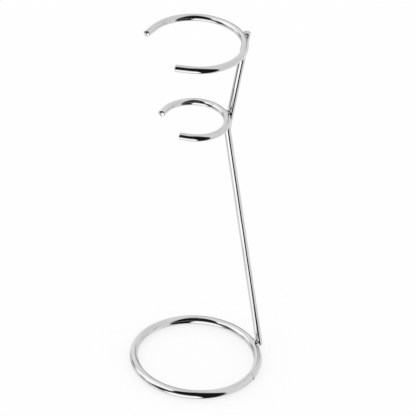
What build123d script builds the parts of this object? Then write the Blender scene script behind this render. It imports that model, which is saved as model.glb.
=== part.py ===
"""Wire stand for a shaving brush.

A closed base ring lies on the table.  One upright rod is welded to the outside of its back,
leans inwards, bends just under the lower holder and leans outwards to the upper holder.  The
two holders are open rings whose mouths face the front; their wire runs straight at its ends.

Millimetres.  The origin is the centre of the base ring on the table, +Z is up, the rod stands
at +Y (the back) and the mouths face -Y (the front).
"""
from build123d import *
import os
from math import cos, degrees, radians, sin, tan

os.makedirs("parts", exist_ok=True)

# ---- driving dimensions: wires -------------------------------------------------------------
base_wire = 4.0             # diameter of the base ring's wire
rod_wire = 3.2              # diameter of the upright rod
lower_wire = 3.2            # diameter of the lower holder's wire
upper_wire = 3.2            # diameter of the upper holder's wire
rod_foot_round = 0.3        # rounding of the rod's cut foot
rod_top_round = 0.6         # rounding of the rod's cut top
holder_end_round = 0.4      # rounding of the holders' cut ends

# ---- driving dimensions: base ring -----------------------------------------------------------
base_radius = 29.0          # centre line of the base ring
seam_turn = 55.0            # from the rod to the closing weld, clockwise seen from above
seam_width = 0.7            # length of the closing weld along the ring
seam_recess = 0.12          # how far the closing weld stays below the wire's surface

# ---- driving dimensions: holders -------------------------------------------------------------
lower_radius = 14.7         # centre line of the lower holder
lower_height = 136.7        # table to the lower holder's centre line
lower_turn = 253.0          # degrees that the lower holder's wire is bent round
lower_straight = 4.0        # straight run at each end of the lower holder's wire
upper_radius = 21.8         # centre line of the upper holder
upper_height = 177.1        # table to the upper holder's centre line
upper_turn = 245.0          # degrees that the upper holder's wire is bent round
upper_straight = 6.5        # straight run at each end of the upper holder's wire

# ---- driving dimensions: upright rod -----------------------------------------------------------
lower_lean = 10.8           # lean of the rod below its bend, inwards, from upright
upper_lean = 8.0            # lean of the rod above its bend, outwards, from upright
bend_below_holder = 8.7     # from the lower holder's centre line down to the rod's bend
bend_radius = 7.7           # of the rod's centre line
rod_above_holder = 0.5      # from the upper holder's centre line up to the rod's top cut
foot_clearance = 0.2        # table to the lowest point of the rod's foot

# ---- driving dimensions: welds -------------------------------------------------------------------
weld_gap = 0.1              # between a ring's wire and the rod, filled by the weld
weld_reach = 0.6            # how far a weld's metal climbs over both wires

# ---- derived places ----------------------------------------------------------------------------------
base_height = base_wire / 2
bend_height = lower_height - bend_below_holder
inward = tan(radians(lower_lean))
outward = tan(radians(upper_lean))


def reach_to_rod(wire, lean):
    """Level distance from a ring's centre line to the centre line of the rod beside it."""
    return (wire / 2 + weld_gap + rod_wire / 2) / cos(radians(lean))


def lower_rod_y(height):
    """Y of the rod's centre line below its bend: it stands against the base ring."""
    return base_radius + reach_to_rod(base_wire, lower_lean) - (height - base_height) * inward


def upper_rod_y(height):
    """Y of the rod's centre line above its bend."""
    return lower_rod_y(bend_height) + (height - bend_height) * outward


foot_height = foot_clearance + rod_wire / 2 * sin(radians(lower_lean))
top_height = upper_height + rod_above_holder
foot_point = (0, lower_rod_y(foot_height), foot_height)
bend_point = (0, lower_rod_y(bend_height), bend_height)
top_point = (0, upper_rod_y(top_height), top_height)

# The holders' centres follow from the rod: the back of each ring touches its weld on the rod.
lower_centre_y = upper_rod_y(lower_height) - reach_to_rod(lower_wire, upper_lean) - lower_radius
upper_centre_y = upper_rod_y(upper_height) - reach_to_rod(upper_wire, upper_lean) - upper_radius

# The closing weld's share of the base ring, in degrees, and the direction that it lies in.
seam_angle = degrees(seam_width / base_radius)
seam_direction = 90.0 - seam_turn


def section_plane(direction, centre_y, height):
    """Upright plane through a ring's axis: X runs outwards along direction, Y runs up."""
    turn = radians(direction)
    return Plane(origin=(0, centre_y, height), x_dir=(cos(turn), sin(turn), 0),
                 z_dir=(sin(turn), -cos(turn), 0))


def ring_axis(centre_y):
    """Upright axis of a ring."""
    return Axis((0, centre_y, 0), (0, 0, 1))


# ---- base ring: one turn of the thicker wire, its two ends a seam apart -------------------------------
with BuildPart() as base_ring:
    with BuildSketch(section_plane(seam_direction + seam_angle / 2, 0, base_height)):
        with Locations((base_radius, 0)):
            Circle(base_wire / 2)
    revolve(axis=ring_axis(0), revolution_arc=360 - seam_angle)
base_ring.part.label = "base_ring"
export_step(base_ring.part, "parts/base_ring.step")

# ---- closing weld: a disc between the base ring's ends, dressed a little below the wire ----------------
with BuildPart() as base_ring_butt_weld:
    with BuildSketch(section_plane(seam_direction - seam_angle / 2, 0, base_height)):
        with Locations((base_radius, 0)):
            Circle(base_wire / 2 - seam_recess)
    revolve(axis=ring_axis(0), revolution_arc=seam_angle)
base_ring_butt_weld.part.label = "base_ring_butt_weld"
export_step(base_ring_butt_weld.part, "parts/base_ring_butt_weld.step")

# ---- upright rod: one length of wire with a single bend, its foot cut square, its top rounded ----------
with BuildPart() as upright_rod:
    with BuildLine() as rod_line:
        FilletPolyline(foot_point, bend_point, top_point, radius=bend_radius)
    rod_start = Plane(origin=foot_point, z_dir=rod_line.line % 0)
    with BuildSketch(rod_start):
        Circle(rod_wire / 2)
    sweep()
    cut_ends = faces().filter_by(GeomType.PLANE).sort_by(Axis.Z)
    fillet(cut_ends[0].edges(), min(rod_foot_round, 0.45 * rod_wire))
    cut_ends = faces().filter_by(GeomType.PLANE).sort_by(Axis.Z)
    fillet(cut_ends[-1].edges(), min(rod_top_round, 0.45 * rod_wire))
upright_rod.part.label = "upright_rod"
export_step(upright_rod.part, "parts/upright_rod.step")

# ---- holders: two level open rings, each a bent wire with a straight run at both ends ------------------
holder_sizes = {
    "lower_holder_ring": (lower_radius, lower_wire, lower_turn, lower_straight,
                          lower_centre_y, lower_height),
    "upper_holder_ring": (upper_radius, upper_wire, upper_turn, upper_straight,
                          upper_centre_y, upper_height),
}
holders = {}
for name, (radius, wire, turn, straight, centre_y, height) in holder_sizes.items():
    with BuildPart() as holder:
        with BuildLine() as holder_line:
            bend = CenterArc((0, centre_y, height), radius, 90 - turn / 2, turn)
            Line(bend @ 0, bend @ 0 - (bend % 0) * straight)
            Line(bend @ 1, bend @ 1 + (bend % 1) * straight)
        with BuildSketch(Plane(origin=holder_line.line @ 0, z_dir=holder_line.line % 0)):
            Circle(wire / 2)
        sweep()
        fillet(faces().filter_by(GeomType.PLANE).edges(), min(holder_end_round, 0.45 * wire))
    holder.part.label = name
    export_step(holder.part, f"parts/{name}.step")
    holders[name] = holder.part


# ---- welds of the rings to the rod: metal that lies near both wires, cut back to their faces -----------
welded_rings = {
    "foot_weld": (base_ring.part, base_radius, base_wire, 0, base_height),
    "lower_holder_weld": (holders["lower_holder_ring"], lower_radius, lower_wire,
                          lower_centre_y, lower_height),
    "upper_holder_weld": (holders["upper_holder_ring"], upper_radius, upper_wire,
                          upper_centre_y, upper_height),
}
around_rod = rod_wire / 2 + weld_reach
for name, (ring, radius, wire, centre_y, height) in welded_rings.items():
    spread = degrees(4 * around_rod / radius)
    with BuildPart() as weld:
        with BuildSketch(section_plane(90 - spread / 2, centre_y, height)):
            with Locations((radius, 0)):
                Circle(wire / 2 + weld_reach)
        revolve(axis=ring_axis(centre_y), revolution_arc=spread)
        with BuildSketch(rod_start):
            Circle(around_rod)
        sweep(path=rod_line.line, mode=Mode.INTERSECT)
        add(ring, mode=Mode.SUBTRACT)
        add(upright_rod.part, mode=Mode.SUBTRACT)
    weld.part.label = name
    export_step(weld.part, f"parts/{name}.step")
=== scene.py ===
from math import cos, degrees, hypot, pi, radians, sin, tan

import bmesh
import bpy
from mathutils import Matrix, Vector, noise


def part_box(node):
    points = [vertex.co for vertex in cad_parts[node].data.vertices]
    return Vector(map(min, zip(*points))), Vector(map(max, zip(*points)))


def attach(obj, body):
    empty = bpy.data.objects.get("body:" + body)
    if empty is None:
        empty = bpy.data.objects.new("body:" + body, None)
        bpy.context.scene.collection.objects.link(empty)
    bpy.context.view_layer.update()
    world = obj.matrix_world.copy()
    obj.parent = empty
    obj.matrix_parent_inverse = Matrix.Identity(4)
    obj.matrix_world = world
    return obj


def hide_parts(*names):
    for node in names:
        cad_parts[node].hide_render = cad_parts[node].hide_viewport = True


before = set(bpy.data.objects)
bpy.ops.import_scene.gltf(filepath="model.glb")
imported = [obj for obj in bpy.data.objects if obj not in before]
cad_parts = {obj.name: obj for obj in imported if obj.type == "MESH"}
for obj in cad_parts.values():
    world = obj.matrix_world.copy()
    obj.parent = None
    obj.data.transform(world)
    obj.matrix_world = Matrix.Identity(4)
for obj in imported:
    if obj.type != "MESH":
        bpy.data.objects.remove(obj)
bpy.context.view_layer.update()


# ---- Base ring -----------------------------------------------------------------------------------
# The ring that the stand rests on: 4 mm steel wire, coiled to one round turn, closed by a butt weld
# and chrome-plated.  The wire keeps the fine lines of its drawing under the bright plate.

SEAM_WIDTH = 0.0007                       # of the closing weld, along the ring
SEAM_DIRECTION = radians(35)              # of the closing weld, from +X towards the rod
SEAM_ROUNDING = 0.00008                   # of the ring's edges beside the weld
NOTCH_SHADE_CORE = 0.0003                         # how far the painted shade of the seam's notch stays full round its middle
NOTCH_SHADE_EDGE = 0.0010                         # and where that painted shade has faded out
WELD_HEAT = (0.0014, 0.0042)              # from a joint: as far as the wire is dull, and where that ends
BRIGHT_CHROME = (0.905, 0.908, 0.910, 1.0)
STREAKED_CHROME = (0.755, 0.757, 0.760, 1.0)
# painted shade: the dark colour that stands for the notch at the closing weld's outer edge
NOTCH_SHADE_COLOUR = (0.15, 0.15, 0.15, 1.0)
POLISH = 0.016                            # roughness of the cleanest plate
RIPPLE_HEIGHT = 0.000022                  # of the slow waves that drawing leaves in the wire
LINE_HEIGHT = 0.0000007                   # of the fine lines along it
SCALE_HEIGHT = 0.00001                    # of the roughened metal beside a weld


class Signal:
    """An output of a node in a tree, or the bare tree, with Python's operators as maths nodes."""

    def __init__(self, tree, socket=None):
        self.tree = tree
        self.socket = socket

    def add(self, kind, settings=None, inputs=None, output=0):
        """Adds a node: first its settings, then its sockets, each with a value or another signal."""
        node = self.tree.nodes.new(kind)
        for name, value in (settings or {}).items():
            setattr(node, name, value)
        for name, value in (inputs or {}).items():
            if isinstance(value, Signal):
                self.tree.links.new(value.socket, node.inputs[name])
            else:
                node.inputs[name].default_value = value
        return Signal(self.tree, node.outputs[output])

    def maths(self, operation, *others):
        """The result of one operation on this signal and others, in this order."""
        return self.add("ShaderNodeMath", {"operation": operation}, dict(enumerate((self, *others))))

    def __add__(self, other):
        return self.maths("ADD", other)

    def __sub__(self, other):
        return self.maths("SUBTRACT", other)

    def __rsub__(self, other):
        return self.add("ShaderNodeMath", {"operation": "SUBTRACT"}, {0: other, 1: self})

    def __mul__(self, other):
        return self.maths("MULTIPLY", other)

    def __truediv__(self, other):
        return self.maths("DIVIDE", other)

    __radd__ = __add__
    __rmul__ = __mul__

    def between(self, low, high):
        """0 up to low, 1 from high on, smooth in between."""
        return self.add("ShaderNodeMapRange", {"interpolation_type": "SMOOTHSTEP"},
                        {"Value": self, "From Min": low, "From Max": high})

    def colours(self, first, second):
        """The first colour where this signal is 0, the second where it is 1."""
        colour_a, colour_b, colour_result = 6, 7, 2
        return self.add("ShaderNodeMix", {"data_type": "RGBA"},
                        {"Factor": self, colour_a: first, colour_b: second}, output=colour_result)

    def vector(self, x, y, z):
        """A vector with these parts."""
        return self.add("ShaderNodeCombineXYZ", None, {"X": x, "Y": y, "Z": z})

    def distance(self, first, second):
        """Distance between two places."""
        return self.add("ShaderNodeVectorMath", {"operation": "DISTANCE"}, {0: first, 1: second},
                        output="Value")


def bent_wire(name, sizes, path, turns=360, sides=56):
    """A round wire whose centre line follows path, a rule from the share of its length to a place.

    sizes are the tree's named inputs.  The cross-sections crowd towards the two cut ends, which are
    rounded over a length, the rounding, and from the edge inwards over a width, the dome.
    """
    tree = bpy.data.node_groups.new(name, "GeometryNodeTree")
    for label in sizes:
        tree.interface.new_socket(label, in_out="INPUT", socket_type="NodeSocketFloat")
    tree.interface.new_socket("Material", in_out="INPUT", socket_type="NodeSocketMaterial")
    tree.interface.new_socket("Wire", in_out="OUTPUT", socket_type="NodeSocketGeometry")
    node = Signal(tree)
    given = {label: node.add("NodeGroupInput", output=label) for label in (*sizes, "Material")}

    index = node.add("GeometryNodeInputIndex")
    share = (1 - (index * (pi / (turns - 1))).maths("COSINE")) / 2
    second_half = share.maths("GREATER_THAN", 0.5)
    rounding = given["Start Rounding"]
    rounding = rounding + (given["End Rounding"] - rounding) * second_half
    dome = given["Start Dome"]
    dome = dome + (given["End Dome"] - dome) * second_half
    from_end = share.maths("MINIMUM", 1 - share) * given["Length"]
    into_edge = (rounding - from_end).maths("MAXIMUM", 0.0) / rounding
    tuck = dome * (1 - (1 - into_edge * into_edge).maths("SQRT"))

    line = node.add("GeometryNodeMeshLine", None, {"Count": turns})
    line = node.add("GeometryNodeSetPosition", None,
                    {"Geometry": line, "Position": path(node, given, share)})
    line = node.add("GeometryNodeStoreNamedAttribute", {"data_type": "FLOAT", "domain": "POINT"},
                    {"Geometry": line, "Name": "along", "Value": share * given["Length"]})
    line = node.add("GeometryNodeMeshToCurve", None, {"Mesh": line})
    section = node.add("GeometryNodeCurvePrimitiveCircle", None, {"Resolution": sides, "Radius": 1.0})
    place = node.add("GeometryNodeInputPosition")
    section = node.add("GeometryNodeStoreNamedAttribute",
                       {"data_type": "FLOAT_VECTOR", "domain": "POINT"},
                       {"Geometry": section, "Name": "around", "Value": place})
    tube = node.add("GeometryNodeCurveToMesh", None,
                    {"Curve": line, "Profile Curve": section, "Scale": given["Thickness"] / 2 - tuck,
                     "Fill Caps": True})
    tube = node.add("GeometryNodeSetShadeSmooth", None, {"Geometry": tube})
    tube = node.add("GeometryNodeRealizeInstances", None, {"Geometry": tube})
    tube = node.add("GeometryNodeSetMaterial", None, {"Geometry": tube, "Material": given["Material"]})
    tree.links.new(tube.socket, tree.nodes.new("NodeGroupOutput").inputs["Wire"])
    return tree


def add_object(name, data):
    """A new object with this data, in the scene."""
    added = bpy.data.objects.new(name, data)
    bpy.context.scene.collection.objects.link(added)
    return added


def on_frame(piece, node_name):
    """The piece stands for its CAD node, rides with it on the frame and hides the node's own mesh."""
    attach(piece, "root")
    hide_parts(node_name)


def make_wire(name, tree, sizes, material, node_name):
    """Runs the tree with these sizes, keeps its result as a plain mesh and puts it on the frame."""
    holder = add_object(name + "_tree", bpy.data.meshes.new(name + "_tree"))
    modifier = holder.modifiers.new("wire", "NODES")
    modifier.node_group = tree
    for item in tree.interface.items_tree:
        if item.in_out == "INPUT":
            modifier[item.identifier] = material if item.name == "Material" else sizes[item.name]
    state = bpy.context.evaluated_depsgraph_get()
    mesh = bpy.data.meshes.new_from_object(holder.evaluated_get(state), preserve_all_data_layers=True,
                                           depsgraph=state)
    mesh.name = name
    holder.modifiers.remove(modifier)
    bpy.data.objects.remove(holder)
    on_frame(add_object(name, mesh), node_name)


def ring_path(node, given, share):
    """A level turn about an upright axis on the stand's middle plane, run on straight at both ends."""
    gone = share * given["Length"] - given["Straight"]
    bent = gone.maths("MAXIMUM", 0.0).maths("MINIMUM", given["Radius"] * given["Turn"])
    beyond = gone - bent
    angle = given["Start"] + bent / given["Radius"]
    across, forward = angle.maths("COSINE"), angle.maths("SINE")
    return node.vector(given["Radius"] * across - beyond * forward,
                       given["Centre Y"] + given["Radius"] * forward + beyond * across,
                       given["Height"])


def ring_sizes(node_name, start, turn, straight, rounding, dome):
    """Reads a ring's sizes from its CAD node, whose widest place lies on its own axis."""
    low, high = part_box(node_name)
    thickness = high.z - low.z
    radius = (high.x - low.x - thickness) / 2
    return {"Radius": radius, "Thickness": thickness, "Centre Y": high.y - thickness / 2 - radius,
            "Height": (low.z + high.z) / 2, "Start": start, "Turn": turn, "Straight": straight,
            "Length": radius * turn + 2 * straight, "Start Rounding": rounding,
            "End Rounding": rounding, "Start Dome": dome, "End Dome": dome}


def bare_metal(name):
    """A metal's material, its shader, and its tree as a signal to write the finish on."""
    material = bpy.data.materials.new(name)
    material.use_nodes = True
    shader = material.node_tree.nodes["Principled BSDF"]
    shader.inputs["Metallic"].default_value = 1.0
    return material, shader, Signal(material.node_tree)


def finish_metal(node, shader, tone, rough, height):
    """Gives the shader a colour, a roughness and a relief in metres, each from a signal."""
    bump = node.add("ShaderNodeBump", None, {"Height": height, "Distance": 1.0, "Strength": 1.0})
    for label, signal in (("Base Color", tone), ("Roughness", rough), ("Normal", bump)):
        node.tree.links.new(signal.socket, shader.inputs[label])


def chrome_wire(name, welds, waviness=1.0, notch_shade=None):
    """Bright chrome over drawn wire: streaks and fine lines along it, a ripple, dull places at welds.

    A notch shade, if there is one, is painted shade: a dark, rough spot at the seam's outer edge where a
    notch is.
    """
    material, shader, node = bare_metal(name)
    place = node.add("ShaderNodeTexCoord", output="Object")
    heat = None
    for weld in welds:
        near = 1 - node.distance(place, weld).between(*WELD_HEAT)
        heat = near if heat is None else heat.maths("MAXIMUM", near)

    along = node.add("ShaderNodeAttribute", {"attribute_name": "along"}, output="Fac")
    around = node.add("ShaderNodeAttribute", {"attribute_name": "around"}, output="Vector")
    around_x = node.add("ShaderNodeSeparateXYZ", None, {0: around}, output="X")
    around_y = node.add("ShaderNodeSeparateXYZ", None, {0: around}, output="Y")

    def grain(per_metre, per_turn, detail, roughness):
        """Noise drawn out along the wire, so many times per metre along it and per turn round it."""
        return node.add("ShaderNodeTexNoise", None,
                        {"Vector": node.vector(along * per_metre, around_x * per_turn,
                                               around_y * per_turn),
                         "Scale": 1.0, "Detail": detail, "Roughness": roughness})

    lines = grain(per_metre=60.0, per_turn=7.0, detail=3.0, roughness=0.6)
    ripple = grain(per_metre=190.0, per_turn=0.45, detail=1.5, roughness=0.45)
    streaks = grain(per_metre=75.0, per_turn=2.6, detail=2.5, roughness=0.62)
    blotches = node.add("ShaderNodeTexNoise", None, {"Vector": place, "Scale": 620.0, "Detail": 2.0})
    smudges = node.add("ShaderNodeTexNoise", None, {"Vector": place, "Scale": 95.0, "Detail": 3.0})
    wear = smudges.between(0.5, 0.72)

    tone = (streaks.between(0.36, 0.7) * 0.8 + wear * 0.2).colours(BRIGHT_CHROME, STREAKED_CHROME)
    rough = POLISH + lines * 0.016 + wear * 0.02 + heat * (0.01 + blotches * 0.03)
    # painted shade: the notch by the seam is painted dark into the colour and made rougher
    if notch_shade:
        notch_shade_mask = 1 - node.distance(place, notch_shade).between(NOTCH_SHADE_CORE, NOTCH_SHADE_EDGE)
        tone = notch_shade_mask.colours(tone, NOTCH_SHADE_COLOUR)
        rough = rough + notch_shade_mask * 0.3
    height = lines * LINE_HEIGHT + ripple * (RIPPLE_HEIGHT * waviness) + heat * blotches * SCALE_HEIGHT
    finish_metal(node, shader, tone, rough, height)
    return material


def weld_place(ring):
    """Middle of the joint between the back of a ring and the rod."""
    return Vector((0.0, ring["Centre Y"] + ring["Radius"] + ring["Thickness"] / 2, ring["Height"]))


base = ring_sizes("base_ring", SEAM_DIRECTION, 2 * pi, 0.0, SEAM_ROUNDING, SEAM_ROUNDING)
seam_turn = SEAM_WIDTH / base["Radius"]
base["Start"] += seam_turn / 2
base["Turn"] -= seam_turn
base["Length"] -= SEAM_WIDTH
seam_outwards = Vector((cos(SEAM_DIRECTION), sin(SEAM_DIRECTION), 0.0))
seam = seam_outwards * base["Radius"] + Vector((0.0, 0.0, base["Height"]))
# the notch's painted shade sits on the seam's outer edge
seam_notch_shade = seam + seam_outwards * base["Thickness"] / 2
base_chrome = chrome_wire("base_chrome", [weld_place(base), seam], notch_shade=seam_notch_shade)
ring_tree = bent_wire("ring of wire", base, ring_path)
make_wire("base_ring_wire", ring_tree, base, base_chrome, "base_ring")


# ---- Base ring's closing weld --------------------------------------------------------------------
# The two ends of the ring's wire are pressed together and fused.  The upset is dressed off and
# plated over, which leaves a narrow seam that lies a hair below the wire.

SEAM_RECESS = 0.00003                     # how far the dressed weld stays below the wire's surface
seam_ring = dict(base, Start=SEAM_DIRECTION - seam_turn / 2, Turn=seam_turn, Length=SEAM_WIDTH)
seam_ring["Thickness"] -= 2 * SEAM_RECESS
seam_tree = bent_wire("closing weld", seam_ring, ring_path, turns=14)
make_wire("base_ring_closing_weld", seam_tree, seam_ring, base_chrome, "base_ring_butt_weld")


# ---- Lower holder --------------------------------------------------------------------------------
# A small open ring of 3.2 mm wire, its mouth to the front.  The wire stays straight for its last
# millimetres, where the bending tool held it, and its cut ends are tumbled smooth.

HOLDER_END_ROUNDING = 0.0005              # how far the tumbled ends bulge
HOLDER_END_DOME = 0.00155                 # and how far in from the wire's surface
LOWER_TURN = radians(253)                 # that the wire is bent round, its middle at the back
LOWER_STRAIGHT = 0.004                    # length of each straight end
LOWER_WAVINESS = 1.8                      # tight bending leaves more ripple in the wire


def holder_sizes(node_name, turn, straight):
    """An open ring's sizes: it runs from its mouth's right side round the back to the left."""
    return ring_sizes(node_name, pi / 2 - turn / 2, turn, straight, HOLDER_END_ROUNDING,
                      HOLDER_END_DOME)


lower = holder_sizes("lower_holder_ring", LOWER_TURN, LOWER_STRAIGHT)
lower_chrome = chrome_wire("lower_chrome", [weld_place(lower)], LOWER_WAVINESS)
make_wire("lower_holder_wire", ring_tree, lower, lower_chrome, "lower_holder_ring")


# ---- Upper holder --------------------------------------------------------------------------------
# The same wire in a larger open ring, level with the rod's top.  A brush hangs in it by the waist of
# its handle, with its hairs down through the lower holder to dry.

UPPER_TURN = radians(245)
UPPER_STRAIGHT = 0.0065
upper = holder_sizes("upper_holder_ring", UPPER_TURN, UPPER_STRAIGHT)
upper_chrome = chrome_wire("upper_chrome", [weld_place(upper)])
make_wire("upper_holder_wire", ring_tree, upper, upper_chrome, "upper_holder_ring")


# ---- Upright rod ---------------------------------------------------------------------------------
# One straight length of 3.2 mm wire with a single bend just under the lower holder.  It leans in
# from the base ring's outside, then out to the upper holder, with all three rings on its front.

LOWER_LEAN = radians(10.8)                # inwards, below the bend
UPPER_LEAN = radians(8.0)                 # outwards, above it
BEND_RADIUS = 0.0077
BEND_BELOW_HOLDER = 0.0087                # from the lower holder's centre line down to the bend
ROD_ABOVE_HOLDER = 0.0005                 # from the upper holder's centre line up to the rod's top
ROD_FOOT_ROUNDING = 0.0003
ROD_TOP_ROUNDING = 0.0006
WELD_GAP = 0.0001                         # between a ring's wire and the rod
FOOT_CLEARANCE = 0.0002                   # under the rod's foot

rod_low, rod_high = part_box("upright_rod")
rod_wire = rod_high.x - rod_low.x
foot_height = FOOT_CLEARANCE + rod_wire / 2 * sin(LOWER_LEAN)
bend_height = lower["Height"] - BEND_BELOW_HOLDER
top_height = upper["Height"] + ROD_ABOVE_HOLDER
reach = (base["Thickness"] / 2 + WELD_GAP + rod_wire / 2) / cos(LOWER_LEAN)
foot_y = base["Radius"] + reach + (base["Height"] - foot_height) * tan(LOWER_LEAN)
bend_y = foot_y - (bend_height - foot_height) * tan(LOWER_LEAN)
top_y = bend_y + (top_height - bend_height) * tan(UPPER_LEAN)
bend_setback = BEND_RADIUS * tan((LOWER_LEAN + UPPER_LEAN) / 2)
rod = {
    "Thickness": rod_wire, "Start Rounding": ROD_FOOT_ROUNDING, "End Rounding": ROD_TOP_ROUNDING,
    "Start Dome": ROD_FOOT_ROUNDING, "End Dome": ROD_TOP_ROUNDING,
    "Foot Y": foot_y, "Foot Height": foot_height,
    "Lower Run": (bend_height - foot_height) / cos(LOWER_LEAN) - bend_setback,
    "Upper Run": (top_height - bend_height) / cos(UPPER_LEAN) - bend_setback,
    "Lower Lean": LOWER_LEAN, "Upper Lean": UPPER_LEAN, "Bend Radius": BEND_RADIUS,
}
rod["Length"] = rod["Lower Run"] + BEND_RADIUS * (LOWER_LEAN + UPPER_LEAN) + rod["Upper Run"]


def rod_path(node, given, share):
    """Straight up to the bend, round it, and straight on."""
    lean = given["Lower Lean"]
    gone = share * given["Length"]
    below = gone.maths("MINIMUM", given["Lower Run"])
    past = (gone - below) / given["Bend Radius"]
    turned = past.maths("MINIMUM", lean + given["Upper Lean"])
    above = gone - below - given["Bend Radius"] * turned
    facing = turned - lean
    y = (given["Foot Y"] - below * lean.maths("SINE")
         + given["Bend Radius"] * (lean.maths("COSINE") - facing.maths("COSINE"))
         + above * given["Upper Lean"].maths("SINE"))
    z = (given["Foot Height"] + below * lean.maths("COSINE")
         + given["Bend Radius"] * (lean.maths("SINE") + facing.maths("SINE"))
         + above * given["Upper Lean"].maths("COSINE"))
    return node.vector(0.0, y, z)


rod_tree = bent_wire("bent rod", rod, rod_path, turns=520)
rod_chrome = chrome_wire("rod_chrome", [weld_place(ring) for ring in (base, lower, upper)])
make_wire("upright_rod_wire", rod_tree, rod, rod_chrome, "upright_rod")


# ---- Welds of the rings to the rod ---------------------------------------------------------------
# The wires are pressed together and fused where they cross.  The metal that flows out stands as a
# small hollow-faced bead in the corner between ring and rod, lumpy under its plate.

WELD_SIZE = 0.00125                       # how far the bead reaches over each wire
WELD_UNEVENNESS = 0.28                    # share by which that varies round the joint
WELD_SINK = 0.00004                       # how deep the bead's hidden faces lie inside the wires
BEAD_GRAIN = 0.00003                      # height of the grain in its face
BEAD_GRAINS_PER_METRE = 1400
BEAD_PROFILES = 72                        # round the joint
PROFILE_STEPS = 14                        # from a profile's middle to either wire
START_REACH = 0.0016                      # where the search for a profile's first place begins
SEARCH_STEPS = 30                         # that it takes to each place
LUMP_ROUND = 1.6                          # round the joint in the noise, for two or three lumps
BRIGHT_BEAD = (0.86, 0.87, 0.88, 1.0)
SCORCHED_BEAD = (0.72, 0.71, 0.70, 1.0)
LUMP_HEIGHT = 0.00003                     # of the fine lumps under the plate
PIT_DEPTH = 0.00001                       # of the pinholes between them
rod_foot = Vector((0.0, foot_y, foot_height))
rod_bend = Vector((0.0, bend_y, bend_height))
rod_top = Vector((0.0, top_y, top_height))


def off_ring(place, ring):
    """Distance of a place from a ring's surface."""
    out = hypot(place.x, place.y - ring["Centre Y"]) - ring["Radius"]
    return hypot(out, place.z - ring["Height"]) - ring["Thickness"] / 2


def off_rod(place, start, end):
    """Distance of a place from a straight stretch of the rod, which is cut square with a round edge."""
    axis = (end - start).normalized()
    middle = (start + end) / 2
    gone = (place - middle).dot(axis)
    rounding = ROD_FOOT_ROUNDING if gone < 0 else ROD_TOP_ROUNDING
    lengthwise = abs(gone) - (end - start).length / 2 + rounding
    sideways = (place - middle - axis * gone).length - rod_wire / 2 + rounding
    outside = hypot(max(lengthwise, 0.0), max(sideways, 0.0))
    return outside + min(max(lengthwise, sideways), 0.0) - rounding


def chrome_weld(name):
    """Chrome over weld metal: uneven, a little duller and darker than the wire."""
    material, shader, node = bare_metal(name)
    place = node.add("ShaderNodeTexCoord", output="Object")
    lumps = node.add("ShaderNodeTexNoise", None, {"Vector": place, "Scale": 1500.0, "Detail": 3.0})
    pits = node.add("ShaderNodeTexVoronoi", None, {"Vector": place, "Scale": 2600.0}, output="Distance")
    pitted = 1 - pits.between(0.05, 0.3)
    tone = lumps.between(0.35, 0.7).colours(BRIGHT_BEAD, SCORCHED_BEAD)
    rough = 0.04 + lumps * 0.08 + pitted * 0.08
    finish_metal(node, shader, tone, rough, lumps * LUMP_HEIGHT - pitted * PIT_DEPTH)
    return material


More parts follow.
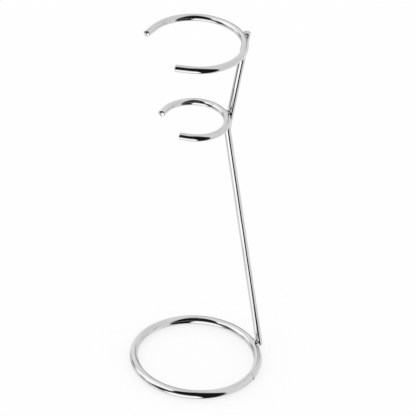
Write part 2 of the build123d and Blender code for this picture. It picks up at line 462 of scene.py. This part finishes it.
def weld_bead(name, ring, start, end, seed):
    """The bead's skin: round the line from wire to wire, each profile runs from the ring to the rod."""
    axis = (end - start).normalized()
    ring_side = Vector((0.0, ring["Centre Y"] + ring["Radius"], ring["Height"]))
    rod_side = start + axis * (ring_side - start).dot(axis)
    across = (rod_side - ring_side).normalized()
    middle = ring_side + across * (ring["Thickness"] / 2 + WELD_GAP / 2)
    sideways = across.cross(axis)
    nudge = 0.000002                      # to feel how the distances change
    longest = 0.0004                      # step towards the wanted place

    def meet(direction, from_ring, from_rod, guess):
        """The place in one profile's plane at these distances from the ring and from the rod."""

        def distances(out, up):
            place = middle + direction * out + across * up
            return off_ring(place, ring), off_rod(place, start, end)

        out, up = guess
        for _ in range(SEARCH_STEPS):
            a, b = distances(out, up)
            a_out, b_out = distances(out + nudge, up)
            a_up, b_up = distances(out, up + nudge)
            slopes = Matrix((((a_out - a) / nudge, (a_up - a) / nudge),
                             ((b_out - b) / nudge, (b_up - b) / nudge)))
            move = slopes.inverted_safe() @ Vector((from_ring - a, from_rod - b))
            if move.length > longest:
                move *= longest / move.length
            out, up = max(out + move.x, 0.0), up + move.y
        return out, up

    mesh = bmesh.new()
    profiles = []
    for number in range(BEAD_PROFILES):
        turn = 2 * pi * number / BEAD_PROFILES
        direction = sideways * cos(turn) + axis * sin(turn)
        lump = noise.noise(Vector((cos(turn) * LUMP_ROUND, sin(turn) * LUMP_ROUND, seed)))
        size = WELD_SIZE * (1 + WELD_UNEVENNESS * lump)
        profile = []
        spot = (START_REACH, 0.0)
        for step in range(-PROFILE_STEPS, PROFILE_STEPS + 1):
            # -1 on the ring, 1 on the rod, and between them the face hangs in a hollow curve
            lean = step / PROFILE_STEPS
            hollow = size * (1 - abs(lean)) ** 2 / 4
            from_ring = hollow + size * max(lean, 0.0)
            from_rod = hollow + size * max(-lean, 0.0)
            if step == -PROFILE_STEPS:
                from_ring -= WELD_SINK
            if step == PROFILE_STEPS:
                from_rod -= WELD_SINK
            spot = meet(direction, from_ring, from_rod, spot)
            place = middle + direction * spot[0] + across * spot[1]
            grain = noise.noise(place * BEAD_GRAINS_PER_METRE + Vector((seed, 0, 0)))
            lift = grain * BEAD_GRAIN * (1 - lean * lean)
            profile.append(mesh.verts.new(place + direction * lift))
        profiles.append(profile)
    for profile, following in zip(profiles, profiles[1:] + profiles[:1]):
        for step in range(2 * PROFILE_STEPS):
            mesh.faces.new((profile[step], following[step], following[step + 1], profile[step + 1]))
    mesh.faces.new([profile[0] for profile in reversed(profiles)])
    mesh.faces.new([profile[-1] for profile in profiles])
    bmesh.ops.recalc_face_normals(mesh, faces=mesh.faces)
    for face in mesh.faces:
        face.smooth = len(face.verts) == 4
    data = bpy.data.meshes.new(name)
    mesh.to_mesh(data)
    mesh.free()
    data.materials.append(weld_finish)
    return add_object(name, data)


weld_finish = chrome_weld("weld_chrome")
for node_name, ring, start, end, seed in (
        ("foot_weld", base, rod_foot, rod_bend, 3.7),
        ("lower_holder_weld", lower, rod_bend, rod_top, 8.8),
        ("upper_holder_weld", upper, rod_bend, rod_top, 13.9)):
    on_frame(weld_bead(node_name + "_bead", ring, start, end, seed), node_name)


# ---- Floor ---------------------------------------------------------------------------------------
# Plain white sheet, lit until it is almost blank: only a trace of the stand's shadow is left on it.
# The metal mirrors the light tent and not the sheet, which is part of the tent.

FLOOR_SIZE = 6.0
WASHED_OUT = 0.72                         # how much of the shadow is lost in the white
SHEET_WHITE = (0.97, 0.97, 0.97, 1.0)
BLANK_WHITE = 1.0                         # what the camera sees of the surroundings
floor_mesh = bpy.data.meshes.new("floor")
floor_shape = bmesh.new()
bmesh.ops.create_grid(floor_shape, x_segments=1, y_segments=1, size=FLOOR_SIZE / 2)
floor_shape.to_mesh(floor_mesh)
floor_shape.free()
floor = add_object("floor", floor_mesh)
floor.visible_glossy = False
floor_paint = bpy.data.materials.new("floor_paint")
floor_paint.use_nodes = True
paint_tree = floor_paint.node_tree
paint = paint_tree.nodes["Principled BSDF"]
paint.inputs["Base Color"].default_value = SHEET_WHITE
paint.inputs["Roughness"].default_value = 0.9
paint.inputs["Specular IOR Level"].default_value = 0.0
on_sheet = Signal(paint_tree)
from_camera = on_sheet.add("ShaderNodeLightPath", output="Is Camera Ray")
blank = on_sheet.add("ShaderNodeEmission", None, {"Strength": BLANK_WHITE})
sheet = on_sheet.add("ShaderNodeMixShader", None,
                     {0: from_camera * WASHED_OUT, 1: Signal(paint_tree, paint.outputs[0]), 2: blank})
paint_tree.links.new(sheet.socket, paint_tree.nodes["Material Output"].inputs["Surface"])
floor_mesh.materials.append(floor_paint)


# ---- Light tent ----------------------------------------------------------------------------------
# A white tent lights the stand from all sides.  Its front is open to a dark room, and its left side
# and the sheet before the stand are the brightest.

TENT_FRONT = radians(62.8)                # turn of the open front from -Y towards +X
TENT_SHADE = 0.56                         # level of the cloth in the depth of its folds
FOLD_LIGHT = 0.33                         # and how much its lit parts add
FLOOD = 1.0                               # light on the white sheet
world = bpy.data.worlds.new("light_tent")
bpy.context.scene.world = world
world.use_nodes = True
world_tree = world.node_tree
in_tent = Signal(world_tree)
ray = in_tent.add("ShaderNodeTexCoord", output="Generated")


def towards(direction):
    """Cosine between a ray and a fixed direction."""
    return in_tent.add("ShaderNodeVectorMath", {"operation": "DOT_PRODUCT"}, {0: ray, 1: direction},
                       output="Value")


# Directions as the stand sees them, in degrees: sideways from the open front and backwards from the
# back wall, both towards the right wall, and upwards from level.
ahead = towards((sin(TENT_FRONT), -cos(TENT_FRONT), 0.0))
rightwards = towards((cos(TENT_FRONT), sin(TENT_FRONT), 0.0))
sideways = rightwards.maths("ARCTAN2", ahead) * degrees(1.0)
backwards = rightwards.maths("ARCTAN2", ahead * -1.0) * degrees(1.0)
upwards = towards((0.0, 0.0, 1.0)).maths("ARCSINE") * degrees(1.0)


def panel(around, left, right, bottom, top, soft, lean_left=0.0, lean_right=0.0):
    """1 inside a panel of the tent, 0 outside, with soft edges.

    Its sides lean to the right by so many degrees per degree upwards.
    """
    from_left = around - upwards * lean_left
    from_right = around - upwards * lean_right
    inside = from_left.between(left - soft, left + soft)
    inside = inside * (1 - from_right.between(right - soft, right + soft))
    inside = inside * upwards.between(bottom - soft, bottom + soft)
    return inside * (1 - upwards.between(top - soft, top + soft))


folds = in_tent.add("ShaderNodeTexNoise", None,
                    {"Vector": ray, "Scale": 4.2, "Detail": 4.0, "Roughness": 0.62})
tent = TENT_SHADE + folds * FOLD_LIGHT

# Each panel's level, then its left, right, bottom and top, its soft edge and the lean of its sides.
for level, mask in (
        (0.50, panel(sideways, 35, 125, -82, -64, 6)),                      # shade under the right wall
        (0.50, panel(sideways, -103, -80, -34, -15, 6)),                    # fold low in the left wall
        (0.80, panel(sideways, -159, -114, 18, 61, 8, -0.27, -0.15)),       # second fold of that wall
        (0.40, panel(sideways, 50, 178, 81, 100, 5)),                       # seam of the roof
        (0.92, panel(backwards, 10, 50, -60, -16, 7)),                      # lit sheet behind, right
        (0.96, panel(backwards, -41, -1, -8, 7, 5)),                        # foot of the back wall
        (0.01, panel(backwards, 1, 25, -9, 1, 2)),                          # slit beside it
        (0.16, panel(backwards, -2, 11, -6, 21, 3)),                        # seam above the slit
        (0.30, panel(backwards, 14, 24, -3, 36, 4)),                        # crease beside the seam
        (0.56, panel(sideways, -139, -106, -38, 24, 7, 0.34, 0.70)),        # fold by the bright wall
        (0.18, panel(sideways, -127, -114, 1, 17, 3)),                      # crease in the fold
        (0.12, panel(sideways, -97, -84, -9, 5, 3)),                        # crease under that wall
        (1.12, panel(sideways, -111, -44, 9, 63, 7, -0.14, 0.20)),          # bright left wall
        (1.16, panel(sideways, -49, 15, -60, -18, 3, 0.04, -0.22)),         # bright sheet in front
        (0.24, panel(sideways, -63, -53, -50, -20, 4)),                     # shaded edge of the sheet
        (0.01, panel(sideways, -30, 32, -6, 92, 4, -0.22, 0.21)),           # open front
        (0.06, panel(sideways, -36, -2, -2, 12, 3)),                        # far wall of the room
        (0.01, panel(sideways, 2, 51, -91, 58, 4, -0.30, -0.14)),           # gap beside the sheet
        (0.02, panel(sideways, -71, -30, -24, 28, 8, 0.49, 0.67))):         # gap beside the left wall
    tent = tent + (level - tent) * mask
mirrored = in_tent.add("ShaderNodeLightPath", output="Is Glossy Ray")
seen = in_tent.add("ShaderNodeLightPath", output="Is Camera Ray")
strength = mirrored * tent + (1 - mirrored) * (1 - seen) * FLOOD + seen * BLANK_WHITE
background = world_tree.nodes["Background"]
background.inputs["Color"].default_value = (1.0, 1.0, 1.0, 1.0)
world_tree.links.new(strength.socket, background.inputs["Strength"])


# ---- Camera --------------------------------------------------------------------------------------
# A long lens, 1.7 m away, looks down on the wire stand from its right front.  It is rolled a little
# to one side and aims at the middle of the stand's height.

CAMERA_RISE = radians(34.74)
CAMERA_ROLL = radians(3.54)
CAMERA_DISTANCE = 1.7017
CAMERA_LENS = 315.0
SENSOR_WIDTH = 36.0
AIM_RIGHT = 0.00564                       # from the base ring's centre to the middle of the view
AIM_UP = 0.06946
level_right = Vector((cos(TENT_FRONT), sin(TENT_FRONT), 0.0))
level_away = Vector((-sin(TENT_FRONT), cos(TENT_FRONT), 0.0))
view_up = Vector((0, 0, 1)) * cos(CAMERA_RISE) + level_away * sin(CAMERA_RISE)
view_back = Vector((0, 0, 1)) * sin(CAMERA_RISE) - level_away * cos(CAMERA_RISE)
camera_right = level_right * cos(CAMERA_ROLL) + view_up * sin(CAMERA_ROLL)
camera_up = view_up * cos(CAMERA_ROLL) - level_right * sin(CAMERA_ROLL)
camera_data = bpy.data.cameras.new("camera")
camera_data.lens = CAMERA_LENS
camera_data.sensor_width = SENSOR_WIDTH
camera_data.clip_start = 0.05
camera_data.clip_end = 50.0
camera = add_object("camera", camera_data)
camera_place = (Vector((0, 0, base["Height"])) + camera_right * AIM_RIGHT + camera_up * AIM_UP
                + view_back * CAMERA_DISTANCE)
camera_turn = Matrix((camera_right, camera_up, view_back)).transposed().to_4x4()
camera.matrix_world = Matrix.Translation(camera_place) @ camera_turn
bpy.context.scene.camera = camera
bpy.context.scene.view_settings.view_transform = "Standard"
